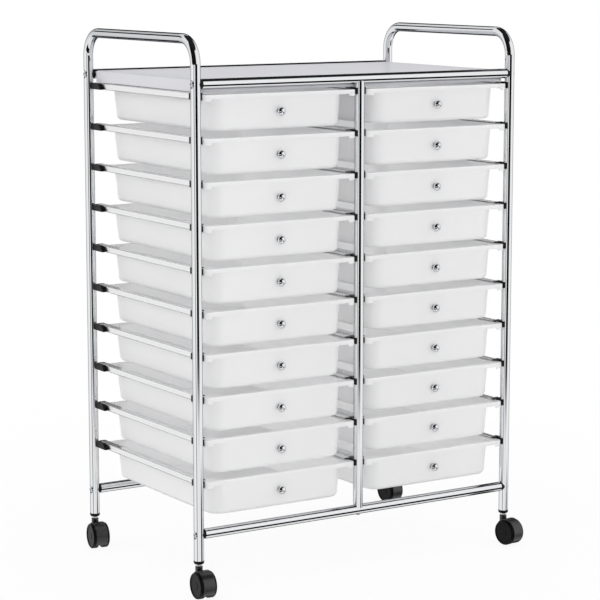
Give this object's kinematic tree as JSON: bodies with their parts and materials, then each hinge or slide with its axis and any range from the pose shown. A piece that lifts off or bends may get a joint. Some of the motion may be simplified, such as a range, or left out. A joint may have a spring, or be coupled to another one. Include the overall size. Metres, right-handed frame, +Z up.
{
  "type": "rolling drawer cart",
  "caption": "Rolling storage cart: chromed tube hoops carry two columns of sliding milky trays on folded runners, a flat metal shelf on top and swivel twin-wheel casters below.",
  "frame": {"origin": "point on the floor midway between the contacts of the four casters", "axes": "+X to the right seen from the front, +Y to the back, +Z up"},
  "size_m": [0.6644, 0.419, 0.9135],
  "materials": {
    "chrome_tube": "polished chrome plate",
    "knob_chrome": "polished chrome plate",
    "bright_steel": "zinc plated",
    "runner_steel": "bright plated sheet",
    "shelf_enamel": "satin grey enamel",
    "drawer_plastic": "milky moulded plastic",
    "black_plastic": "moulded",
    "caster_wheel": "moulded"
  },
  "bodies": {
    "frame": {"left_hoop": "chrome_tube", "right_hoop": "chrome_tube", "top_rails": "chrome_tube", "bottom_rails": "chrome_tube", "centre_posts": "chrome_tube", "tube_plugs": "black_plastic", "frame_screws": "bright_steel", "top_shelf": "shelf_enamel", "drawer_runners": "runner_steel", "runner_caps": "black_plastic", "leg_plugs": "black_plastic", "caster_stems": "bright_steel"},
    "front_left_caster": {"front_left_caster_hood": "black_plastic"},
    "front_left_wheels": {"front_left_caster_wheels": "caster_wheel"},
    "front_right_caster": {"front_right_caster_hood": "black_plastic"},
    "front_right_wheels": {"front_right_caster_wheels": "caster_wheel"},
    "back_left_caster": {"back_left_caster_hood": "black_plastic"},
    "back_left_wheels": {"back_left_caster_wheels": "caster_wheel"},
    "back_right_caster": {"back_right_caster_hood": "black_plastic"},
    "back_right_wheels": {"back_right_caster_wheels": "caster_wheel"},
    "left_drawer_body_01": {"left_drawer_01": "drawer_plastic", "left_knob_01": "knob_chrome"},
    "left_drawer_body_02": {"left_drawer_02": "drawer_plastic", "left_knob_02": "knob_chrome"},
    "left_drawer_body_03": {"left_drawer_03": "drawer_plastic", "left_knob_03": "knob_chrome"},
    "left_drawer_body_04": {"left_drawer_04": "drawer_plastic", "left_knob_04": "knob_chrome"},
    "left_drawer_body_05": {"left_drawer_05": "drawer_plastic", "left_knob_05": "knob_chrome"},
    "left_drawer_body_06": {"left_drawer_06": "drawer_plastic", "left_knob_06": "knob_chrome"},
    "left_drawer_body_07": {"left_drawer_07": "drawer_plastic", "left_knob_07": "knob_chrome"},
    "left_drawer_body_08": {"left_drawer_08": "drawer_plastic", "left_knob_08": "knob_chrome"},
    "left_drawer_body_09": {"left_drawer_09": "drawer_plastic", "left_knob_09": "knob_chrome"},
    "left_drawer_body_10": {"left_drawer_10": "drawer_plastic", "left_knob_10": "knob_chrome"},
    "right_drawer_body_01": {"right_drawer_01": "drawer_plastic", "right_knob_01": "knob_chrome"},
    "right_drawer_body_02": {"right_drawer_02": "drawer_plastic", "right_knob_02": "knob_chrome"},
    "right_drawer_body_03": {"right_drawer_03": "drawer_plastic", "right_knob_03": "knob_chrome"},
    "right_drawer_body_04": {"right_drawer_04": "drawer_plastic", "right_knob_04": "knob_chrome"},
    "right_drawer_body_05": {"right_drawer_05": "drawer_plastic", "right_knob_05": "knob_chrome"},
    "right_drawer_body_06": {"right_drawer_06": "drawer_plastic", "right_knob_06": "knob_chrome"},
    "right_drawer_body_07": {"right_drawer_07": "drawer_plastic", "right_knob_07": "knob_chrome"},
    "right_drawer_body_08": {"right_drawer_08": "drawer_plastic", "right_knob_08": "knob_chrome"},
    "right_drawer_body_09": {"right_drawer_09": "drawer_plastic", "right_knob_09": "knob_chrome"},
    "right_drawer_body_10": {"right_drawer_10": "drawer_plastic", "right_knob_10": "knob_chrome"}
  },
  "joints": [
    {"name": "front_left_swivel", "type": "hinge", "parent": "frame", "child": "front_left_caster", "pos_m": [-0.3125, -0.1695, 0.05], "axis": [0, 0, 1], "continuous": true},
    {"name": "front_left_roll", "type": "hinge", "parent": "front_left_caster", "child": "front_left_wheels", "pos_m": [-0.31331, -0.18498, 0.022], "axis": [0.9986, -0.0523, 0], "continuous": true},
    {"name": "front_right_swivel", "type": "hinge", "parent": "frame", "child": "front_right_caster", "pos_m": [0.3125, -0.1695, 0.05], "axis": [0, 0, 1], "continuous": true},
    {"name": "front_right_roll", "type": "hinge", "parent": "front_right_caster", "child": "front_right_wheels", "pos_m": [0.31466, -0.18485, 0.022], "axis": [0.9903, 0.1392, 0], "continuous": true},
    {"name": "back_left_swivel", "type": "hinge", "parent": "frame", "child": "back_left_caster", "pos_m": [-0.3125, 0.2005, 0.05], "axis": [0, 0, 1], "continuous": true},
    {"name": "back_left_roll", "type": "hinge", "parent": "back_left_caster", "child": "back_left_wheels", "pos_m": [-0.31466, 0.18515, 0.022], "axis": [0.9903, -0.1392, 0], "continuous": true},
    {"name": "back_right_swivel", "type": "hinge", "parent": "frame", "child": "back_right_caster", "pos_m": [0.3125, 0.2005, 0.05], "axis": [0, 0, 1], "continuous": true},
    {"name": "back_right_roll", "type": "hinge", "parent": "back_right_caster", "child": "back_right_wheels", "pos_m": [0.31358, 0.18504, 0.022], "axis": [0.9976, 0.0698, 0], "continuous": true},
    {"name": "left_drawer_slide_01", "type": "slide", "parent": "frame", "child": "left_drawer_body_01", "axis": [0, -1, 0], "range_m": [0, 0.26]},
    {"name": "left_drawer_slide_02", "type": "slide", "parent": "frame", "child": "left_drawer_body_02", "axis": [0, -1, 0], "range_m": [0, 0.26]},
    {"name": "left_drawer_slide_03", "type": "slide", "parent": "frame", "child": "left_drawer_body_03", "axis": [0, -1, 0], "range_m": [0, 0.26]},
    {"name": "left_drawer_slide_04", "type": "slide", "parent": "frame", "child": "left_drawer_body_04", "axis": [0, -1, 0], "range_m": [0, 0.26]},
    {"name": "left_drawer_slide_05", "type": "slide", "parent": "frame", "child": "left_drawer_body_05", "axis": [0, -1, 0], "range_m": [0, 0.26]},
    {"name": "left_drawer_slide_06", "type": "slide", "parent": "frame", "child": "left_drawer_body_06", "axis": [0, -1, 0], "range_m": [0, 0.26]},
    {"name": "left_drawer_slide_07", "type": "slide", "parent": "frame", "child": "left_drawer_body_07", "axis": [0, -1, 0], "range_m": [0, 0.26]},
    {"name": "left_drawer_slide_08", "type": "slide", "parent": "frame", "child": "left_drawer_body_08", "axis": [0, -1, 0], "range_m": [0, 0.26]},
    {"name": "left_drawer_slide_09", "type": "slide", "parent": "frame", "child": "left_drawer_body_09", "axis": [0, -1, 0], "range_m": [0, 0.26]},
    {"name": "left_drawer_slide_10", "type": "slide", "parent": "frame", "child": "left_drawer_body_10", "axis": [0, -1, 0], "range_m": [0, 0.26]},
    {"name": "right_drawer_slide_01", "type": "slide", "parent": "frame", "child": "right_drawer_body_01", "axis": [0, -1, 0], "range_m": [0, 0.26]},
    {"name": "right_drawer_slide_02", "type": "slide", "parent": "frame", "child": "right_drawer_body_02", "axis": [0, -1, 0], "range_m": [0, 0.26]},
    {"name": "right_drawer_slide_03", "type": "slide", "parent": "frame", "child": "right_drawer_body_03", "axis": [0, -1, 0], "range_m": [0, 0.26]},
    {"name": "right_drawer_slide_04", "type": "slide", "parent": "frame", "child": "right_drawer_body_04", "axis": [0, -1, 0], "range_m": [0, 0.26]},
    {"name": "right_drawer_slide_05", "type": "slide", "parent": "frame", "child": "right_drawer_body_05", "axis": [0, -1, 0], "range_m": [0, 0.26]},
    {"name": "right_drawer_slide_06", "type": "slide", "parent": "frame", "child": "right_drawer_body_06", "axis": [0, -1, 0], "range_m": [0, 0.26]},
    {"name": "right_drawer_slide_07", "type": "slide", "parent": "frame", "child": "right_drawer_body_07", "axis": [0, -1, 0], "range_m": [0, 0.26]},
    {"name": "right_drawer_slide_08", "type": "slide", "parent": "frame", "child": "right_drawer_body_08", "axis": [0, -1, 0], "range_m": [0, 0.26]},
    {"name": "right_drawer_slide_09", "type": "slide", "parent": "frame", "child": "right_drawer_body_09", "axis": [0, -1, 0], "range_m": [0, 0.26]},
    {"name": "right_drawer_slide_10", "type": "slide", "parent": "frame", "child": "right_drawer_body_10", "axis": [0, -1, 0], "range_m": [0, 0.26]}
  ]
}
